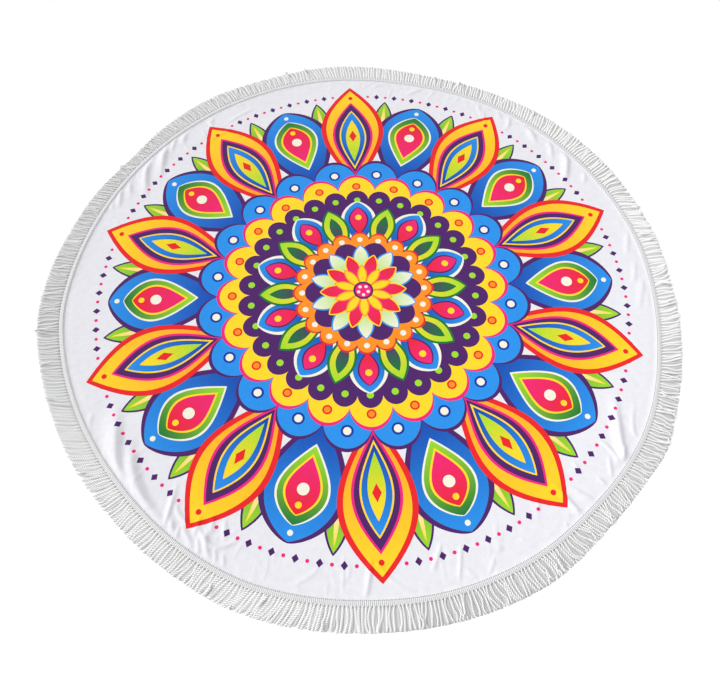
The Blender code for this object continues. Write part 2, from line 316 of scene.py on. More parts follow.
def back_height(places):
    free = smooth((inside_seam(places) - FLAT_HEM) / HEM_FADE)
    return raised(places, FOLDS, 0, FOLD_FADE) * free * UNDERSIDE_LIFT


def rings_of(bands, first_points):
    """The plan of one side of the cloth, ring by ring from the edge inwards: (number of points, places)."""
    rings = []
    share, points = 1.0, first_points
    bearings = np.arange(points) * 360 / points
    rings.append((points, polar(bearings, seam_radius(bearings) + LAP)))
    for band in bands:
        step = (share - band.ends_at) / band.steps
        bearings = np.arange(band.points) * 360 / band.points
        for _ in range(band.steps):
            share -= step
            rings.append((band.points, polar(bearings, (seam_radius(bearings) + LAP) * share)))
    return rings


def faces_between(outer, outer_start, inner, inner_start):
    """Faces from a ring to one inside it that has as many points, or a whole fraction of them."""
    step = outer // inner
    faces = []
    for k in range(inner):
        outside = [outer_start + (k * step + j) % outer for j in range(step + 1)]
        faces.append(outside + [inner_start + (k + 1) % inner, inner_start + k])
    return faces


def cloth_side(bands, height_of):
    """One side of the cloth as points and faces, its first ring at the edge and its middle closed."""
    rings = rings_of(bands, FACE_BANDS[0].points)
    plan = np.concatenate([places for _, places in rings])
    points = np.column_stack((plan, height_of(plan)))
    faces = []
    start = 0
    for (outer, _), (inner, _) in zip(rings, rings[1:]):
        faces += faces_between(outer, start, inner, start + outer)
        start += outer
    faces.append(list(range(start, start + rings[-1][0])))
    return points, faces


def new_object(name, data):
    """An object in the scene, made of a mesh, a lamp or a camera."""
    thing = bpy.data.objects.new(name, data)
    bpy.context.scene.collection.objects.link(thing)
    return thing


def new_piece(name, points, faces, materials, material_of=None):
    """A smooth-shaded mesh object."""
    mesh = bpy.data.meshes.new(name)
    mesh.from_pydata(points.tolist(), [], faces)
    for material in materials:
        mesh.materials.append(material)
    if material_of is not None:
        mesh.polygons.foreach_set("material_index", material_of)
    mesh.polygons.foreach_set("use_smooth", np.ones(len(mesh.polygons), bool))
    mesh.update()
    return new_object(name, mesh)


def add_map(piece, name, places):
    """A UV map with one place for each corner of the piece's faces."""
    layer = piece.data.uv_layers.new(name=name)
    layer.uv.foreach_set("vector", np.asarray(places, np.float32).ravel())


face_points, face_faces = cloth_side(FACE_BANDS, face_height)
back_points, back_faces = cloth_side(BACK_BANDS, back_height)
rim_points = FACE_BANDS[0].points
back_start = len(face_points)
back_faces = [[back_start + k for k in reversed(face)] for face in back_faces]
edge_faces = []
for k in range(rim_points):
    after = (k + 1) % rim_points
    edge_faces.append([k, back_start + k, back_start + after, after])


# The print's ground and inks. Each ring of motifs is laid over the ones before it.
INKS = {
    "purple": (0.072, 0.014, 0.130),
    "deep blue": (0.003, 0.035, 0.36),
    "sky blue": (0.020, 0.27, 0.78),
    "yellow": (1.0, 0.66, 0.020),
    "orange": (0.95, 0.27, 0.012),
    "red": (0.78, 0.016, 0.020),
    "hot pink": (0.83, 0.016, 0.19),
    "green": (0.004, 0.17, 0.035),
    "lime": (0.33, 0.68, 0.025),
    "cream": (0.86, 0.84, 0.70),
    "ground": (0.768, 0.768, 0.812),
}

# A plain round medallion. Columns: the shape; how many go round, and by what share of their pitch they are
# turned; the shape's sizes in mm; its ink, and its tip's where that differs; and its rim's width and ink.
# The sizes of petals are where they start and end, their half width, where their belly lies (over 1 is
# further out), and how pointed their ends are (0.5 is round). Those of dots are their ring's radius and
# their own, of diamonds their ring's radius, half length and half width, and of scallops their ring's radius.
Motif = namedtuple("Motif", "shape count turn sizes ink tip_ink rim rim_ink", defaults=(None, 0, None))
MOTIFS = [Motif(*row) for row in (
    ("diamonds", 80, 0.5, (628, 9, 7.5), "purple"),
    ("dots", 80, 0.0, (628, 4.0), "hot pink"),
    ("petals", 20, 0.5, (420, 612, 26, 1.5, 0.85), "green", "lime", 5, "purple"),
    ("petals", 20, 0.5, (470, 594, 5, 1.3, 0.85), "cream", "yellow"),
    ("petals", 10, 0.5, (320, 604, 92, 1.45, 0.62), "deep blue", "sky blue", 13, "purple"),
    ("petals", 10, 0.5, (392, 568, 58, 1.35, 0.70), "lime", "green", 5, "cream"),
    ("petals", 10, 0.5, (415, 548, 41, 1.35, 0.75), "hot pink", "red", 5, "yellow"),
    ("dots", 10, 0.5, (492, 13), "cream"),
    ("dots", 10, 0.5, (526, 7), "yellow"),
    ("dots", 10, 0.5, (583, 6), "cream"),
    ("petals", 10, 0.0, (300, 662, 84, 1.25, 0.95), "orange", "yellow", 13, "red"),
    ("petals", 10, 0.0, (345, 606, 54, 1.15, 0.95), "purple", None, 6, "hot pink"),
    ("petals", 10, 0.0, (370, 576, 36, 1.15, 0.90), "deep blue", "sky blue", 4, "yellow"),
    ("petals", 10, 0.0, (396, 542, 19, 1.15, 0.90), "lime", "yellow"),
    ("diamonds", 10, 0.0, (484, 20, 10), "red"),
    ("dots", 10, 0.0, (622, 6), "red"),
    ("scallops", 20, 0.5, (345,), "sky blue", None, 8, "purple"),
    ("dots", 20, 0.5, (352, 14), "cream", None, 5, "deep blue"),
    ("scallops", 20, 0.0, (302,), "yellow", None, 8, "hot pink"),
    ("dots", 20, 0.0, (312, 11), "orange", None, 4, "red"),
    ("scallops", 30, 0.0, (270,), "purple", None, 6, "purple"),
    ("dots", 30, 0.0, (268, 8), "lime"),
    ("petals", 10, 0.0, (126, 264, 44, 1.3, 0.62), "deep blue", "sky blue", 8, "cream"),
    ("petals", 10, 0.0, (160, 246, 25, 1.2, 0.72), "red", "hot pink", 4, "purple"),
    ("dots", 10, 0.0, (214, 8), "yellow"),
    ("petals", 10, 0.5, (106, 250, 33, 1.3, 0.85), "yellow", "lime", 6, "green"),
    ("petals", 10, 0.5, (142, 224, 14, 1.2, 0.85), "purple", "green"),
    ("scallops", 20, 0.0, (146,), "orange", None, 5, "red"),
    ("dots", 20, 0.0, (146, 7), "cream"),
    ("scallops", 10, 0.5, (106,), "purple", None, 5, "purple"),
    ("petals", 10, 0.0, (38, 130, 21, 1.2, 0.70), "lime", "cream", 4, "sky blue"),
    ("petals", 10, 0.5, (20, 104, 19, 1.2, 0.75), "hot pink", "red", 4, "yellow"),
    ("petals", 10, 0.0, (8, 72, 12, 1.2, 0.75), "yellow", None, 3, "orange"),
    ("dots", 1, 0.0, (0, 24), "hot pink", None, 5, "purple"),
    ("dots", 5, 0.0, (12, 4), "cream"),
)]


class Varying:
    """What varies over a surface: a number, a place or a colour that a node gives. Arithmetic with such
    numbers adds nodes to their tree."""

    def __init__(self, output):
        self.output = output
        self.tree = output.id_data

    def __add__(self, other):
        return worked("ADD", self, other)

    def __sub__(self, other):
        return worked("SUBTRACT", self, other)

    def __rsub__(self, other):
        return worked("SUBTRACT", other, self)

    def __mul__(self, other):
        return worked("MULTIPLY", self, other)

    def __truediv__(self, other):
        return worked("DIVIDE", self, other)

    def __rtruediv__(self, other):
        return worked("DIVIDE", other, self)

    def __pow__(self, other):
        return worked("POWER", self, other)


def feed(socket, value):
    """Give one of a node's inputs its value: one that varies, a number, or a colour."""
    if isinstance(value, Varying):
        value.tree.links.new(value.output, socket)
    elif socket.type == "RGBA":
        socket.default_value = (*value, 1.0)
    else:
        socket.default_value = value


def new_node(tree, kind, **values):
    """A node with values for its inputs, by their names."""
    node = tree.nodes.new(kind)
    for label, value in values.items():
        feed(node.inputs[label], value)
    return node


def tree_of(values):
    return next(value.tree for value in values if isinstance(value, Varying))


def worked(operation, *values):
    """One step of arithmetic over the surface."""
    node = new_node(tree_of(values), "ShaderNodeMath")
    node.operation = operation
    for socket, value in zip(node.inputs, values):
        feed(socket, value)
    return Varying(node.outputs[0])


def laid_over(below, above, share):
    """One colour over another, in the share that a mask gives."""
    node = new_node(share.tree, "ShaderNodeMix")
    node.data_type = "RGBA"
    for socket, value in ((node.inputs[0], share), (node.inputs[6], below), (node.inputs[7], above)):
        feed(socket, value)
    return Varying(node.outputs[2])


def new_group(name, inputs):
    """A new shader group, and what its inputs give. The input called place takes a place, others a number."""
    group = bpy.data.node_groups.new(name, "ShaderNodeTree")
    for label in inputs.split():
        kind = "NodeSocketVector" if label == "place" else "NodeSocketFloat"
        group.interface.new_socket(label, in_out="INPUT", socket_type=kind)
    entry = new_node(group, "NodeGroupInput")
    return group, [Varying(entry.outputs[label]) for label in inputs.split()]


def finish_group(group, **results):
    """Put out a group's results under their names."""
    for label in results:
        group.interface.new_socket(label, in_out="OUTPUT", socket_type="NodeSocketFloat")
    new_node(group, "NodeGroupOutput", **results)


def placed(group, *values):
    """What a group's outputs give, where it is placed with these values for its inputs."""
    node = new_node(tree_of(values), "ShaderNodeGroup")
    node.node_tree = group
    for socket, value in zip(node.inputs, values):
        feed(socket, value)
    return [Varying(output) for output in node.outputs]


# The place on one motif of a ring: how far out along its middle line, and how far beside that line.
ring_place, (turns, radius, count, turn) = new_group("place in a ring", "turns radius count turn")
pitch = turns * count + turn
angle = (pitch - worked("ROUND", pitch)) * (2 * math.pi) / count
finish_group(ring_place, out=radius * worked("COSINE", angle),
             aside=worked("ABSOLUTE", radius * worked("SINE", angle)))

# Petals: widest at their belly, with round or pointed ends. Depth is how far a place is inside the outline.
petals, (out, aside, start, end, half_width, belly, point) = new_group(
    "petals", "out aside start end half_width belly point")
along = worked("MINIMUM", worked("MAXIMUM", (out - start) / (end - start), 0.0), 1.0)
swell = worked("MAXIMUM", worked("SINE", along ** belly * math.pi), 0.0) ** point
finish_group(petals, depth=swell * half_width - aside, along=along)

# Dots on a ring.
dots, (out, aside, ring, reach) = new_group("dots", "out aside ring reach")
beyond = out - ring
finish_group(dots, depth=reach - worked("SQRT", beyond * beyond + aside * aside))

# Diamonds on a ring.
diamonds, (out, aside, ring, half_length, half_width) = new_group(
    "diamonds", "out aside ring half_length half_width")
narrowed = worked("ABSOLUTE", out - ring) / half_length * half_width
finish_group(diamonds, depth=half_width - (narrowed + aside))

# Scallops: a disc whose edge is a row of half rounds, one to each pitch.
scallops, (radius, aside, ring, half_pitch) = new_group("scallops", "radius aside ring half_pitch")
bulge = worked("SQRT", worked("MAXIMUM", half_pitch * half_pitch - aside * aside, 0.0))
finish_group(scallops, depth=ring + bulge - radius)

# Short pile: a fine uneven nap, for the tone of a towelling and the height of its loops. Its tone varies in
# random patches, and painted shade makes it darker between the loops than on them.
PATCHES_A_LOOP = 0.09        # the nap's lighter and darker patches are about eleven loops across
PATCH_TONE = 1.2             # and show this much more than the loops do
LOOP_MIDDLE = 0.35           # the distance from a loop at which the tone is even; painted shade darkens it further out
nap, (place, loop_size, tone_spread) = new_group("nap", "place loop_size tone_spread")
scale = 1.0 / loop_size
loops = new_node(nap, "ShaderNodeTexVoronoi", Vector=place, Scale=scale)
loops.feature = "SMOOTH_F1"
from_loop = Varying(loops.outputs["Distance"])
patches = new_node(nap, "ShaderNodeTexNoise", Vector=place, Scale=scale * PATCHES_A_LOOP, Detail=3.0)
tone = (Varying(patches.outputs["Fac"]) - 0.5) * PATCH_TONE + (LOOP_MIDDLE - from_loop)
finish_group(nap, tone=tone * tone_spread + 1.0, height=1.0 - from_loop)


def new_material(name, roughness, sheen, sheen_roughness):
    """A material whose shader has its plain values set, with its tree and its shader node."""
    material = bpy.data.materials.new(name)
    material.use_nodes = True
    shader = material.node_tree.nodes["Principled BSDF"]
    shader.inputs["Roughness"].default_value = roughness
    shader.inputs["Specular IOR Level"].default_value = 0.25
    shader.inputs["Sheen Weight"].default_value = sheen
    shader.inputs["Sheen Roughness"].default_value = sheen_roughness
    return material, material.node_tree, shader


def toned(color, tone):
    """A colour made lighter or darker by a tone, where 1 leaves it as it is."""
    node = new_node(tone.tree, "ShaderNodeVectorMath")
    node.operation = "SCALE"
    feed(node.inputs[0], color)
    feed(node.inputs["Scale"], tone)
    return Varying(node.outputs[0])


def bumped(shader, height, distance, strength):
    bump = new_node(height.tree, "ShaderNodeBump", Distance=distance, Strength=strength, Height=height)
    feed(shader.inputs["Normal"], Varying(bump.outputs["Normal"]))


def read_map(tree, name):
    """One of the piece's maps: the place on it, and that place's two numbers."""
    read = new_node(tree, "ShaderNodeUVMap")
    read.uv_map = name
    place = Varying(read.outputs["UV"])
    apart = new_node(tree, "ShaderNodeSeparateXYZ", Vector=place)
    return place, Varying(apart.outputs["X"]), Varying(apart.outputs["Y"])


LOOP_SIZE = 0.0011
PRINT_TURN = 18 / 360        # the print's turn on the cloth
printed_face, tree, shader = new_material("printed towelling", roughness=0.88, sheen=0.15,
                                          sheen_roughness=0.45)
flat, east, north = read_map(tree, "Flat")
turns = worked("ARCTAN2", north, east) / (2 * math.pi) + PRINT_TURN
radius = worked("SQRT", east * east + north * north) * 1000
shapes = {"petals": petals, "dots": dots, "diamonds": diamonds}
ink = INKS["ground"]
ring_places = {}
for motif in MOTIFS:
    way = (motif.count, motif.turn)
    if way not in ring_places:
        ring_places[way] = placed(ring_place, turns, radius, *way)
    out, aside = ring_places[way]
    fill = INKS[motif.ink]
    if motif.shape == "scallops":
        ring, = motif.sizes
        depth, = placed(scallops, radius, aside, ring, math.pi * ring / motif.count)
    else:
        depth, *along = placed(shapes[motif.shape], out, aside, *motif.sizes)
    if motif.tip_ink:
        fill = laid_over(fill, INKS[motif.tip_ink], along[0])
    if motif.rim:
        ink = laid_over(ink, INKS[motif.rim_ink], worked("GREATER_THAN", depth, 0.0))
    ink = laid_over(ink, fill, worked("GREATER_THAN", depth, motif.rim))
tone, height = placed(nap, flat, LOOP_SIZE, 0.12)
feed(shader.inputs["Base Color"], toned(ink, tone))
bumped(shader, height, 0.0004, 0.5)

unprinted_back, tree, shader = new_material("unprinted towelling", roughness=0.9, sheen=0.15,
                                            sheen_roughness=0.45)
flat, _, _ = read_map(tree, "Flat")
tone, height = placed(nap, flat, LOOP_SIZE, 0.15)
feed(shader.inputs["Base Color"], toned(INKS["ground"], tone))
bumped(shader, height, 0.0005, 0.6)

cloth_faces = face_faces + back_faces + edge_faces
sides = np.repeat((0, 1, 1), (len(face_faces), len(back_faces), len(edge_faces)))
cloth = new_piece("cloth_panel", np.concatenate((face_points, back_points)), cloth_faces,
                  (printed_face, unprinted_back), sides)
corners = np.concatenate([np.array(face) for face in cloth_faces])
side_of_corner = np.repeat((0, 1, 2), [sum(len(face) for face in faces)
                                       for faces in (face_faces, back_faces, edge_faces)])
flat_places = np.array([vertex.co[:2] for vertex in cloth.data.vertices])[corners]
add_map(cloth, "Flat", flat_places)
# The baking map: the face fills the square's round middle, and the back and the edge lie in its corners.
MAP_REACH = 0.715            # metres from the middle to the map's side
CORNER = 0.072               # the middle of a corner that the round face leaves free, and its reach
CORNER_REACH = 0.066
EDGE_REACH = 0.05            # the cloth's edge is a ring between these two, in a corner of its own
unit = flat_places / MAP_REACH / 2
bake_places = unit + 0.5
on_back = side_of_corner == 1
bake_places[on_back] = unit[on_back] * 2 * CORNER_REACH + CORNER
on_edge = side_of_corner == 2
reach = np.where(corners[on_edge] < back_start, CORNER_REACH, EDGE_REACH)[:, None]
bake_places[on_edge] = unit[on_edge] * 2 * reach + (1 - CORNER, CORNER)
add_map(cloth, "OFBake", bake_places)
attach(cloth, "root")
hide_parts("cloth")

# ---------------------------------------------------------------------------------------------------------
# The heading: a woven tape of spun cotton, ribbed across, that carries the cords. It laps over the hem and
# is sewn down through it, so its inner side stands up as a low step all round the cloth.
# ---------------------------------------------------------------------------------------------------------

CORDS = 576
HEADING_RIBS = 2 * CORDS
POINTS_PER_RIB = 4
RIB_HEIGHTS = (0.0, 0.90, 1.0, 0.90)        # from the groove to the next groove
RIB_DEPTH = 0.0010
WEFT_DEPTH = 0.0004          # where the weft goes under a rib, one row in two
# The tape's section, from under its inner side, over its top, and back along the floor. Columns: how far
# outside the seam and how high, in mm, and the share of the ribs' depth that shows there.
Section = namedtuple("Section", "outside height ribbed")
HEADING_SECTION = [Section(*row) for row in (
    (-1.2, 2.4, 0.0), (-1.7, 3.4, 0.1), (-1.3, 3.85, 0.2), (-0.7, 3.9, 0.1), (-0.3, 3.5, 0.0),
    (0.6, 3.5, 0.0), (1.0, 4.2, 0.3), (2.2, 4.4, 0.4), (3.6, 4.4, 0.5), (5.0, 4.3, 0.6),
    (6.2, 4.2, 0.8), (7.4, 4.05, 1.0), (8.5, 3.9, 1.0), (9.6, 3.6, 1.0), (10.6, 2.8, 0.8),
    (10.5, 0.8, 0.4), (9.7, 0.1, 0.0), (6.9, 0.1, 0.0), (6.5, 2.4, 0.0),
)]
SIDE_BELOW = 2.7             # the section's points that are lower than this are on the tape's sides,
OUTER_SIDE = 5               # and of those, the ones further out than this are on its outer side

stations = HEADING_RIBS * POINTS_PER_RIB
bearings = np.arange(stations) * 360 / stations
chance = np.random.default_rng(21)
rib_unevenness = np.repeat(chance.uniform(0.75, 1.0, HEADING_RIBS), POINTS_PER_RIB)
ribs = np.tile(RIB_HEIGHTS, HEADING_RIBS) * rib_unevenness
points = []
rib_number = np.arange(stations) // POINTS_PER_RIB
for row_number, row in enumerate(HEADING_SECTION):
    under = (rib_number + row_number) % 2 * ribs
    sunk = ((1 - ribs) * RIB_DEPTH + under * WEFT_DEPTH) * row.ribbed
    on_side = row.height < SIDE_BELOW
    # The ribs stand out of the tape: sideways at its sides, and upwards on its top.
    outwards = -sunk if row.outside > OUTER_SIDE else sunk
    plan = polar(bearings, seam_radius(bearings) + row.outside / 1000 + outwards * on_side)
    points.append(np.column_stack((plan, row.height / 1000 - sunk * (not on_side))))
points = np.concatenate(points)
rows = len(HEADING_SECTION)
station = np.arange(stations)
following = (station + 1) % stations
faces = []
for i in range(rows):
    here, after = i * stations, (i + 1) % rows * stations
    quads = np.stack((here + station, after + station, after + following, here + following), axis=-1)
    faces += quads.tolist()

# Spun yarn: fibres that run along a piece's own map, with uneven tone.
FIBRES_DRAWN = (0.22, 1.0, 1.0)              # the noise is drawn out along the yarn by this scale
yarn, (place, fibre_size, tone_spread) = new_group("spun yarn", "place fibre_size tone_spread")
drawn = new_node(yarn, "ShaderNodeVectorMath")
drawn.operation = "MULTIPLY"
feed(drawn.inputs[0], place)
feed(drawn.inputs[1], FIBRES_DRAWN)
fibres = new_node(yarn, "ShaderNodeTexNoise", Vector=Varying(drawn.outputs[0]), Scale=1.0 / fibre_size,
                  Detail=4.0, Roughness=0.6)
fibre = Varying(fibres.outputs["Fac"])
finish_group(yarn, tone=(fibre - 0.5) * tone_spread + 1.0, height=fibre)


def cotton_material(name, color, fibre_size, tone_spread, bump_distance, shade):
    """Undyed cotton yarn, matt, its fibres along the piece's own map. It takes painted shade: it's darker
    where shade is under 1.
    """
    material, tree, shader = new_material(name, roughness=0.85, sheen=0.2, sheen_roughness=0.5)
    lay, along, around = read_map(tree, "Lay")
    tone, height = placed(yarn, lay, fibre_size, tone_spread)
    feed(shader.inputs["Base Color"], toned(color, tone * shade(along, around)))
    bumped(shader, height, bump_distance, 0.6)
    return material


HEADING_COLOR = (0.85, 0.85, 0.862)
HEADING_RADIUS = 0.7         # as it is on the tape's own map
RIB_ON_MAP = 2 * math.pi * HEADING_RADIUS / HEADING_RIBS
SEAM_SHADE = 0.70            # painted shade: how much darker the tape is where the seam sinks into it
SEAM_MIDDLE = 0.0034         # from the tape's inner side, over its top
SEAM_REACH = 0.0010
RIB_SHADE = 0.50             # and painted shade in the grooves between its ribs
BEAD_LENGTH = 0.0044         # the weft makes a row of beads of each rib, set off by half a bead from the next; painted shade darkens the tape between them
BEAD_SHADE = 0.84


def dip(value, period, shade):
    """A tone that falls from 1 to a shade and back in half of each period, and is 1 in the other half."""
    wave = worked("COSINE", value * (2 * math.pi / period))
    return worked("MAXIMUM", wave, 0.0) * (shade - 1) + 1.0


def heading_shade(across, along):
    """Painted shade: darker along the seam, between the ribs, and between the beads of each rib."""
    seam = worked("COMPARE", across, SEAM_MIDDLE, SEAM_REACH) * (SEAM_SHADE - 1) + 1.0
    rib = worked("FLOOR", along / RIB_ON_MAP)
    beads = dip(across + rib * (BEAD_LENGTH / 2), BEAD_LENGTH, BEAD_SHADE)
    return seam * beads * dip(along, RIB_ON_MAP, RIB_SHADE)


heading_cotton = cotton_material("heading cotton", HEADING_COLOR, 0.0006, 0.45, 0.0003, heading_shade)
heading = new_piece("fringe_heading", points, faces, [heading_cotton])
# The tape's own map: across the tape, then along it. The baking map cuts it into rows.
BAKE_ROWS = 24
BAKE_GAP = 0.04              # the share of a row that is left free on each side
corners = np.array(faces)
row_of = corners // stations
station_of = corners % stations
row_of[(row_of == 0) & (row_of.max(1) == rows - 1)[:, None]] = rows
station_of[(station_of == 0) & (station_of.max(1) == stations - 1)[:, None]] = stations
lengths = station_of / POINTS_PER_RIB * RIB_ON_MAP
steps = np.diff(np.array([row[:2] for row in HEADING_SECTION + HEADING_SECTION[:1]]), axis=0) / 1000
across = np.concatenate(([0.0], np.linalg.norm(steps, axis=1).cumsum()))[row_of]
add_map(heading, "Lay", np.stack((across, lengths), axis=-1))
bake_row = station_of.min(1) * BAKE_ROWS // stations
in_row = station_of / stations * BAKE_ROWS - bake_row[:, None]
bake_v = (bake_row[:, None] + BAKE_GAP + (1 - 2 * BAKE_GAP) * row_of / rows) / BAKE_ROWS
add_map(heading, "OFBake", np.stack((in_row, bake_v), axis=-1))
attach(heading, "root")
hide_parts("fringe_trim")

# ---------------------------------------------------------------------------------------------------------
# The seam's stitches: a row of machine stitches in white thread that holds the heading down, close to its
# inner edge. Each stitch is a short thread that dips into the tape at both ends.
# ---------------------------------------------------------------------------------------------------------

STITCH_PITCH = 0.0084
STITCH_LENGTH = 0.0036
SEAM_MEAN_RADIUS = 0.696
THREAD_RADIUS = 0.0006
THREAD_END = 0.55            # the share of that radius at a stitch's ends, where it dips into the tape
STITCH_INSIDE = 0.0010       # how far inside the seam's line the thread lies, on the tape's lip
STITCH_HEIGHT = 0.0037
STITCH_ARCH = 0.0004
STITCH_STEPS = 4
THREAD_SIDES = 6
THREAD_COLOR = (0.90, 0.90, 0.90)
THREAD_GRAIN = 900.0         # how fine the thread's grain is, and how much its tone varies with it
THREAD_TONES = 0.2


def strand_faces(count, steps, sides, mirrored=False):
    """The faces of like strands, each with its sides, ring by ring, and its caps at the root and the tip."""
    side = np.arange(sides)
    rings = np.arange(steps)[:, None] * sides
    here, beside = rings + side, rings + (side + 1) % sides
    quads = np.stack((here, beside, beside + sides, here + sides), axis=-1).reshape(-1, 4)
    root_cap, tip_cap = side[::-1], side + steps * sides
    if mirrored:
        quads, root_cap, tip_cap = quads[:, (0, 3, 2, 1)], root_cap[::-1], tip_cap[::-1]
    faces = []
    for k in range(count):
        start = k * (steps + 1) * sides
        faces += (quads + start).tolist()
        faces += [(root_cap + start).tolist(), (tip_cap + start).tolist()]
    return faces


stitches = round(2 * math.pi * SEAM_MEAN_RADIUS / STITCH_PITCH)
t = np.linspace(0, 1, STITCH_STEPS + 1)
bearings = 360 * (np.arange(stitches)[:, None] + (t - 0.5) * STITCH_LENGTH / STITCH_PITCH) / stitches
middles = polar(bearings, seam_radius(bearings) - STITCH_INSIDE)[:, :, None, :]
outwards = middles / np.linalg.norm(middles, axis=-1, keepdims=True)
arch = np.sin(math.pi * t)[:, None]
thick = THREAD_RADIUS * (THREAD_END + (1 - THREAD_END) * arch)
turn = 2 * math.pi * np.arange(THREAD_SIDES) / THREAD_SIDES
plan = middles + outwards * (thick * np.cos(turn))[..., None]
height = np.broadcast_to(STITCH_HEIGHT + STITCH_ARCH * arch + thick * np.sin(turn), plan.shape[:-1])
points = np.concatenate((plan, height[..., None]), axis=-1).reshape(-1, 3)
faces = strand_faces(stitches, STITCH_STEPS, THREAD_SIDES)
thread, tree, shader = new_material("sewing thread", roughness=0.6, sheen=0.1, sheen_roughness=0.4)
grain = new_node(tree, "ShaderNodeTexNoise", Scale=THREAD_GRAIN)
tone = Varying(grain.outputs["Fac"]) * THREAD_TONES + (1 - THREAD_TONES / 2)
feed(shader.inputs["Base Color"], toned(THREAD_COLOR, tone))
stitching = new_piece("seam_stitches", points, faces, [thread])
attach(stitching, "root")

# ---------------------------------------------------------------------------------------------------------
# The cords: two plies of spun cotton twisted together, looped at the tip, hanging from the heading side by
# side. They lie on the floor as they fell: in clumps and gaps, bent, and here and there across each other.
# ---------------------------------------------------------------------------------------------------------

HEADING_WIDTH = 0.0105
CORD_RADIUS = 0.0023         # of the round that the two plies turn in
PLY_RADIUS = 0.0013
PLY_OFFSET = 0.00105
TURN_LENGTH = 0.0096         # one full turn of the twist
CORD_STEPS = 36
ROOT_DEPTH = 0.0012          # the cords start this far inside the heading, drawn thin by its weave
ROOT_HEIGHT = 0.0022
REST_HEIGHT = 0.0028         # the front row lies on the back row
ROOT_SHARES = (0.52, 0.62, 0.80)
TIP_SHARES = (0.94, 0.78, 0.42)              # the looped tip closes over its last steps
LAY_STEPS = 12               # the places along a cord where it is laid beside and over its neighbours
LEAN_CURVE = 1.35            # a cord leaves its heading square and leans further out
CLOSEST = 0.0040             # two cords pressed side by side
WIDEST = 0.0150              # and as far as they part
CLUMP = 0.0036               # how far neighbours swing together, and how they sway on the way
SWAY = 0.0029
CLUMPS_PER_TURN = (34, 96)
SWING_CURVE = 1.6
SWAYS_PER_TURN = (30, 120)
LATE_SWAYS_PER_TURN = (40, 140)
LATE_SWAY = 0.6              # the sway near the tip, as a share of the one on the way
LOOSE_TIP = 0.0024           # a single cord's own unevenness: at its tip, on its way, and in length
LOOSE_SWAY = 0.0016
LOOSE_LENGTH = 0.0004
LOOSE_FULLNESS = 0.05
EVEN_CLUMP = 0.15            # where the fringe lies evenly, the cords swing and sway less by these shares
EVEN_SWAY = 0.45
EVEN_FULLER = 0.66           # they are fuller and flatter
EVEN_LOWER = 0.45
EVEN_SINK = 0.0008           # and they lie deeper in the back row
CORD_FLATNESS = 0.84         # a cord that lies on others is a little flatter than it is wide
STEEPEST = 0.38              # how steeply a cord climbs over another
NEIGHBOURS = 5               # the cords on each side that a cord may cross
EASING_PASSES = 6            # how often, and by what share, cords that are too close or too far are moved
EASING = 0.35
LEAN_REACH = 0.045           # a tip's usual distance from the seam
LAY_LENGTH = 0.046           # a cord's usual length
TIP_SHORT = 0.4              # the looped tip ends short of the fringe's edge by this share of its radius

# Where the fringe lies in a tangle. Columns: the bearing and reach in degrees, and how far its tips stray,
# in mm.
Tangle = namedtuple("Tangle", "bearing reach stray")
TANGLES = [Tangle(*row) for row in (
    (67, 5, 4.0), (107, 5, 4.5), (144, 6, 3.5), (178, 5, 3.0), (224, 3, 3.5), (253, 7, 5.0),
    (270, 3, 5.0), (282, 2, 4.0), (310, 4, 5.0), (357, 9, 6.0), (9, 7, 5.5), (19, 7, 5.5),
)]

# Where the cords are fuller, and lie straighter and more evenly. Columns: the bearing and reach in degrees,
# and by what share.
EvenPlace = namedtuple("EvenPlace", "bearing reach share")
EVEN_PLACES = [EvenPlace(*row) for row in (
    (222, 42, 0.9), (250, 34, 0.9), (8, 42, 0.7), (45, 42, 0.8), (88, 58, 0.9),
)]

chance = np.random.default_rng(12)
roots = (np.arange(CORDS) + 0.5) * 360 / CORDS
turns_round = np.radians(roots)


def evenness(bearings):
    """How full, straight and even the fringe lies at each bearing: between 0 and 1."""
    share = np.zeros(len(bearings))
    for place in EVEN_PLACES:
        away = np.abs((bearings - place.bearing + 180) % 360 - 180)
        share = np.maximum(share, place.share * smooth(1 - away / place.reach))
    return share


def drift(lowest, highest, waves=10):
    """A smooth uneven value from cord to cord round the fringe, mostly between -1 and 1."""
    total = np.zeros(CORDS)
    for _ in range(waves):
        total += np.sin(turns_round * chance.integers(lowest, highest) + chance.uniform(0, 2 * math.pi))
    return total / math.sqrt(waves)


stray = np.full(CORDS, LOOSE_TIP)
for tangle in TANGLES:
    away = np.abs((roots - tangle.bearing + 180) % 360 - 180)
    stray = stray + tangle.stray / 1000 * smooth(1 - away / tangle.reach)
swing = CLUMP * drift(*CLUMPS_PER_TURN) + stray * chance.normal(0, 1, CORDS)
sway = SWAY * drift(*SWAYS_PER_TURN) + (LOOSE_SWAY + stray / 3) * chance.normal(0, 1, CORDS)
late_sway = SWAY * LATE_SWAY * drift(*LATE_SWAYS_PER_TURN) + LOOSE_SWAY * chance.normal(0, 1, CORDS)
even = evenness(roots)
swing *= 1 - EVEN_CLUMP * even
sway *= 1 - EVEN_SWAY * even
late_sway *= 1 - EVEN_SWAY * even
lengths = along_rim(roots, "fringe") / 1000 + chance.normal(0, LOOSE_LENGTH, CORDS)
lean = np.radians(along_rim(roots, "lean")) * (seam_radius(roots) + LEAN_REACH)

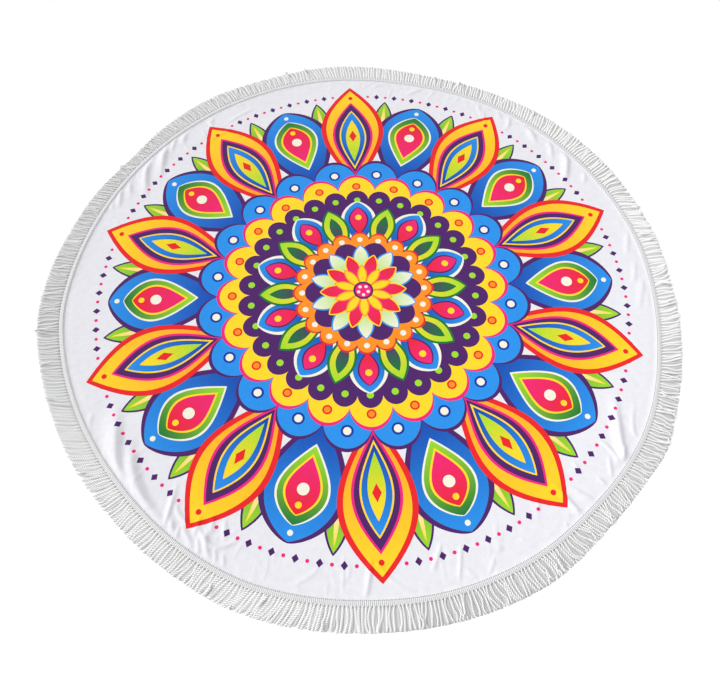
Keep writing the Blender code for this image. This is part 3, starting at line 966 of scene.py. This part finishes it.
t = np.linspace(0, 1, LAY_STEPS + 1)[None, :]
aside = (lean[:, None] * t ** LEAN_CURVE + swing[:, None] * t ** SWING_CURVE
         + sway[:, None] * np.sin(math.pi * t) + late_sway[:, None] * np.sin(2 * math.pi * t) * t)
root_radius = seam_radius(roots) + HEADING_WIDTH - ROOT_DEPTH
radii = root_radius[:, None] + (lengths[:, None] + ROOT_DEPTH - CORD_RADIUS * TIP_SHORT) * t
arc = np.radians(roots)[:, None] * radii + aside
for _ in range(EASING_PASSES):
    gap = np.roll(arc, -1, axis=0) - arc
    gap[-1] += 2 * math.pi * radii[-1]
    push = np.where((gap > 0) & (gap < CLOSEST), (CLOSEST - gap) * EASING, 0.0)
    push = (push - np.maximum(gap - WIDEST, 0) * EASING) * smooth(t * 3)
    arc = arc - push + np.roll(push, 1, axis=0)

# Cords are laid in no order, and each lies over those already there that it crosses.
heights = (REST_HEIGHT - EVEN_SINK * even)[:, None] * np.ones(LAY_STEPS + 1)
laid = np.zeros(CORDS, bool)
lay_steps = np.arange(LAY_STEPS + 1)
ramp = np.abs(lay_steps[:, None] - lay_steps) * LAY_LENGTH / LAY_STEPS * STEEPEST
for i in chance.permutation(CORDS):
    height = heights[i].copy()
    for j in range(i - NEIGHBOURS, i + NEIGHBOURS + 1):
        if j == i or not laid[j % CORDS]:
            continue
        round_turn = 2 * math.pi * radii[i] * ((j >= CORDS) - (j < 0))
        gap = np.abs(arc[j % CORDS] + round_turn - arc[i])
        touching = gap < CLOSEST
        over = heights[j % CORDS] + np.sqrt(np.maximum(CLOSEST ** 2 - gap ** 2, 0))
        height = np.where(touching, np.maximum(height, over), height)
    height[0] = ROOT_HEIGHT
    heights[i] = (height[None, :] - ramp).max(1)
    laid[i] = True
heights[:, 0] = ROOT_HEIGHT


def read_along(values, places):
    """Smooth values between those at the lay's steps, at places from 0 to 1 along the cords."""
    x = places * LAY_STEPS
    i = np.minimum(x.astype(int), LAY_STEPS - 1)
    f = x - i
    before, after = np.maximum(i - 1, 0), np.minimum(i + 2, LAY_STEPS)
    a, b, c, d = values[:, before], values[:, i], values[:, i + 1], values[:, after]
    return 0.5 * (2 * b + (c - a) * f + (2 * a - 5 * b + 4 * c - d) * f ** 2
                  + (3 * b - a - 3 * c + d) * f ** 3)


# The plies' outline: two rounds side by side, with the furrow between them.
LOBE_TURNS = (-112, -40, 40, 112)
FURROW = 0.0006
lobe = [math.radians(turn) for turn in LOBE_TURNS]
right_ply = [(PLY_OFFSET + PLY_RADIUS * math.cos(a), PLY_RADIUS * math.sin(a)) for a in lobe]
left_ply = [(-x, -y) for x, y in right_ply]
outline = np.array(right_ply + [(0.0, FURROW)] + left_ply + [(0.0, -FURROW)])

places = np.linspace(0, 1, CORD_STEPS + 1)
plan_radii = read_along(radii, places)
plan_angles = read_along(arc, places) / plan_radii
centres = np.stack((plan_radii * np.cos(plan_angles), plan_radii * np.sin(plan_angles),
                    read_along(heights, places)), axis=-1)
tangents = np.gradient(centres, axis=1)
tangents /= np.linalg.norm(tangents, axis=2, keepdims=True)
sideways = np.cross(tangents, (0.0, 0.0, 1.0))
sideways /= np.linalg.norm(sideways, axis=2, keepdims=True)
upwards = np.cross(sideways, tangents)
travel = np.linalg.norm(np.diff(centres, axis=1), axis=2).cumsum(1)
travel = np.concatenate((np.zeros((CORDS, 1)), travel), axis=1)
twist = -travel / TURN_LENGTH * 2 * math.pi + chance.uniform(0, 2 * math.pi, CORDS)[:, None]
fullness = chance.normal(1.0, LOOSE_FULLNESS, CORDS) + EVEN_FULLER * even
thickness = fullness[:, None] * np.ones(CORD_STEPS + 1)
thickness[:, -3:] *= TIP_SHARES
thickness[:, :3] *= ROOT_SHARES
turned = np.stack((np.cos(twist), np.sin(twist)), axis=-1)
x = outline[:, 0] * turned[..., 0, None] - outline[:, 1] * turned[..., 1, None]
y = outline[:, 0] * turned[..., 1, None] + outline[:, 1] * turned[..., 0, None]
flatness = CORD_FLATNESS * (1 - EVEN_LOWER * even)[:, None, None]
x = (x * thickness[..., None])[..., None]
y = (y * thickness[..., None] * flatness)[..., None]
cord_points = centres[:, :, None, :] + sideways[:, :, None, :] * x + upwards[:, :, None, :] * y
cord_points[..., 2] = np.maximum(cord_points[..., 2], 0.0)

CORD_PIECES = 4
CORDS_A_PIECE = CORDS // CORD_PIECES
MAP_COLUMNS = 24
CORD_COLOR = (0.91, 0.91, 0.912)
CORD_ON_MAP = 0.02           # the space from one cord to the next on their map
POINT_ON_MAP = 0.0013        # and between the points of a cord
FURROW_SHADE = 0.40          # painted shade: the furrows between the plies are darker
MAP_CAP = 0.001              # the radius of a strand's cap on its own map, and on the baking map
BAKE_CAP = 0.008
IN_COLUMN = (0.06, 0.88)     # where a strand starts in its column of the baking map, and its width there
IN_ROW = (0.04, 0.90)        # where it starts in its row, and its length there
CAPS_IN_ROW = (0.015, 0.975)


def strands_piece(name, points, material, columns, first, step_on_map, side_on_map, mirrored=False):
    """Like strands as one piece, from their points, strand by strand and ring by ring. The piece's own map
    runs along and round each strand, and its baking map sets them out in rows."""
    count, rings, sides = points.shape[:3]
    faces = strand_faces(count, rings - 1, sides, mirrored)
    quads = np.array(faces[:(rings - 1) * sides])
    step, side = quads // sides, quads % sides
    side[(side == 0) & (side.max(1) == sides - 1)[:, None]] = sides
    turn = np.linspace(0, 2 * math.pi, sides, endpoint=False)
    cap = np.stack((np.cos(turn), np.sin(turn)), axis=-1)
    rows = count // columns
    lay_places = []
    bake_places = []
    for k in range(count):
        from_strand = (first + k) * CORD_ON_MAP
        lay = np.stack((step * step_on_map, side * side_on_map + from_strand), axis=-1)
        lay_places.append(lay.reshape(-1, 2))
        column, row = k % columns, k // columns
        u = (column + IN_COLUMN[0] + IN_COLUMN[1] * side / sides) / columns
        v = (row + IN_ROW[0] + IN_ROW[1] * step / (rings - 1)) / rows
        bake_places.append(np.stack((u, v), axis=-1).reshape(-1, 2))
        for end_row, order in zip(CAPS_IN_ROW, (-1, 1)):
            lay_places.append(cap[::order] * MAP_CAP + (0.0, from_strand))
            middle = ((column + 0.5) / columns, (row + end_row) / rows)
            bake_places.append(cap[::order] * BAKE_CAP / rows + middle)
    piece = new_piece(name, points.reshape(-1, 3), faces, [material])
    add_map(piece, "Lay", np.concatenate(lay_places))
    add_map(piece, "OFBake", np.concatenate(bake_places))
    return piece


def cord_shade(along, around):
    """Painted shade: darker in the two furrows, which lie at opposite points of a cord's section."""
    in_cord = worked("FRACT", around / CORD_ON_MAP) * CORD_ON_MAP
    return dip(in_cord + POINT_ON_MAP, POINT_ON_MAP * len(outline) / 2, FURROW_SHADE)


cord_cotton = cotton_material("cord cotton", CORD_COLOR, 0.0005, 0.35, 0.0003, cord_shade)
for piece_number in range(CORD_PIECES):
    first = piece_number * CORDS_A_PIECE
    cords = strands_piece(f"fringe_cords_{piece_number + 1}", cord_points[first:first + CORDS_A_PIECE],
                          cord_cotton, MAP_COLUMNS, first, POINT_ON_MAP, POINT_ON_MAP)
    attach(cords, "root")
    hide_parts("fringe_trim")

# ---------------------------------------------------------------------------------------------------------
# The back row: more cords of the same cotton under the front ones, close side by side and pressed flat on the
# floor. They start under the heading. Their grey is painted shade, standing for the front row's shade on
# them, and it shows in the gaps of the front row.
# ---------------------------------------------------------------------------------------------------------

BACK_CORDS = 720
BACK_STEPS = 10
BACK_SECTION = ((-3.3, 0.1), (-3.1, 1.1), (-1.3, 1.6), (1.3, 1.6), (3.1, 1.1), (3.3, 0.1))   # in mm
BACK_ROOTS = (0.2, 0.5)      # the shares of that height at its roots, in the shade of the heading's edge
BACK_TIPS = (0.85, 0.55)     # and the shares of height and width at its tips
BACK_LOOSE_LENGTH = 0.0003
BACK_STRAY = 0.0008
# painted shade: the back row's cotton is greyed for the front row's shade on it
BACK_PAINTED_SHADE_COLOR = (0.565, 0.565, 0.565)
BACK_SHORTER = 0.004         # where the fringe lies evenly, it is shorter than the front row by this much, higher by this share and its painted shade is lighter by this share
BACK_FULLER = 0.75           # higher by this share
BACK_LIGHTER = 0.22          # and less in the shade, so lighter by this share
BACK_COLUMNS = 40
BACK_STEP_ON_MAP = 0.0045
BACK_SIDE_ON_MAP = 0.002

back_roots = np.arange(BACK_CORDS) * 360 / BACK_CORDS
t = np.linspace(0, 1, BACK_STEPS + 1)[None, :]
back_even = evenness(back_roots)
back_lengths = along_rim(back_roots, "fringe") / 1000 - BACK_SHORTER * back_even
back_lengths += chance.normal(0, BACK_LOOSE_LENGTH, BACK_CORDS)
root_radius = seam_radius(back_roots) + HEADING_WIDTH - ROOT_DEPTH
radii = root_radius[:, None] + (back_lengths[:, None] + ROOT_DEPTH) * t
leaning = along_rim(back_roots, "lean")[:, None] * t ** LEAN_CURVE
straying = np.degrees(chance.normal(0, BACK_STRAY, BACK_CORDS)[:, None] * t ** 2 / radii)
middles = polar(back_roots[:, None] + leaning + straying, radii)
outwards = polar(back_roots, np.ones(BACK_CORDS))[:, None, :]
beside = np.stack((-outwards[..., 1], outwards[..., 0]), axis=-1)
section = np.array(BACK_SECTION) / 1000
full = np.ones(BACK_STEPS + 1)
full[-2:] = BACK_TIPS
plan = middles[:, :, None, :] + beside[:, :, None, :] * (section[:, 0] * full[:, None])[None, :, :, None]
lowered = full.copy()
lowered[:2] = BACK_ROOTS
fuller = 1 + BACK_FULLER * back_even
rise = fuller[:, None, None, None] * (section[:, 1] * lowered[:, None])[None, :, :, None]
points = np.concatenate((plan, rise), axis=-1)


def back_shade(along, around):
    """Painted shade, lighter where the fringe lies evenly."""
    _, even_here, _ = read_map(along.tree, "Even")
    return even_here * BACK_LIGHTER + 1.0


back_shaded_cotton = cotton_material("back row cotton in painted shade", BACK_PAINTED_SHADE_COLOR, 0.0006, 0.3, 0.0003, back_shade)
back_row = strands_piece("fringe_back_row", points, back_shaded_cotton, BACK_COLUMNS, 0, BACK_STEP_ON_MAP,
                         BACK_SIDE_ON_MAP, mirrored=True)
even_places = np.repeat(back_even, len(back_row.data.loops) // BACK_CORDS)
add_map(back_row, "Even", np.stack((even_places, np.zeros(len(even_places))), axis=-1))
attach(back_row, "root")
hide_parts("fringe_trim")

# ---------------------------------------------------------------------------------------------------------
# The studio: a pale floor, one broad soft light low on the left that draws the folds, and an even sky.
# ---------------------------------------------------------------------------------------------------------

FLOOR_REACH = 14.0
FLOOR_DROP = 0.0003          # the floor lies this far under the cloth, so that the two don't touch
floor_paint, tree, shader = new_material("pale floor", roughness=0.95, sheen=0.0, sheen_roughness=0.5)
shader.inputs["Specular IOR Level"].default_value = 0.0
feed(shader.inputs["Base Color"], (1.0, 1.0, 1.0))
floor_corners = np.array(((-1, -1, 0), (1, -1, 0), (1, 1, 0), (-1, 1, 0))) * FLOOR_REACH
floor = new_piece("floor", floor_corners, [(0, 1, 2, 3)], [floor_paint])
floor.location.z = -FLOOR_DROP

KEY_BEARING = 165.0          # where the key light comes from, and how high it stands
KEY_ELEVATION = 36.0
KEY_SPREAD = 68.0            # the light's width as the cloth sees it, in degrees
KEY_POWER = 3.2
key_light = bpy.data.lights.new("key", "SUN")
key_light.energy = KEY_POWER
key_light.angle = math.radians(KEY_SPREAD)
key_light.color = (1.0, 0.995, 0.985)
key = new_object("key", key_light)
height = math.sin(math.radians(KEY_ELEVATION))
across = math.cos(math.radians(KEY_ELEVATION))
towards_key = Vector((*(polar(KEY_BEARING, across)), height))
key.rotation_euler = towards_key.to_track_quat("Z", "Y").to_euler()

FILL_PLACE = Vector((1.05, -0.85, 2.20))     # a weaker lamp on the right, near enough to light that side more
FILL_POWER = 13.5
FILL_SIZE = 1.2
SKY_STRENGTH = 0.358
fill_light = bpy.data.lights.new("fill", "AREA")
fill_light.energy = FILL_POWER
fill_light.size = FILL_SIZE
fill = new_object("fill", fill_light)
fill.location = FILL_PLACE
fill.rotation_euler = FILL_PLACE.to_track_quat("Z", "Y").to_euler()

world = bpy.data.worlds.new("studio")
bpy.context.scene.world = world
world.use_nodes = True
sky = world.node_tree.nodes["Background"]
sky.inputs["Color"].default_value = (0.975, 0.985, 1.0, 1.0)
sky.inputs["Strength"].default_value = SKY_STRENGTH
bpy.context.scene.view_settings.view_transform = "Standard"

# ---------------------------------------------------------------------------------------------------------
# The camera: above the near edge, looking down at the cloth.
# ---------------------------------------------------------------------------------------------------------

CAMERA_PLACE = Vector((-0.0617, -0.7622, 1.3078))
CAMERA_TARGET = Vector((-0.0166, -0.1556, 0.0))
CAMERA_ROLL = math.radians(1.14)
camera_data = bpy.data.cameras.new("camera")
camera_data.lens = 31.47
camera_data.sensor_width = 36.0
camera = new_object("camera", camera_data)
aim = (CAMERA_TARGET - CAMERA_PLACE).to_track_quat("-Z", "Y").to_matrix().to_4x4()
camera.matrix_world = Matrix.Translation(CAMERA_PLACE) @ aim @ Matrix.Rotation(CAMERA_ROLL, 4, "Z")
bpy.context.scene.camera = camera
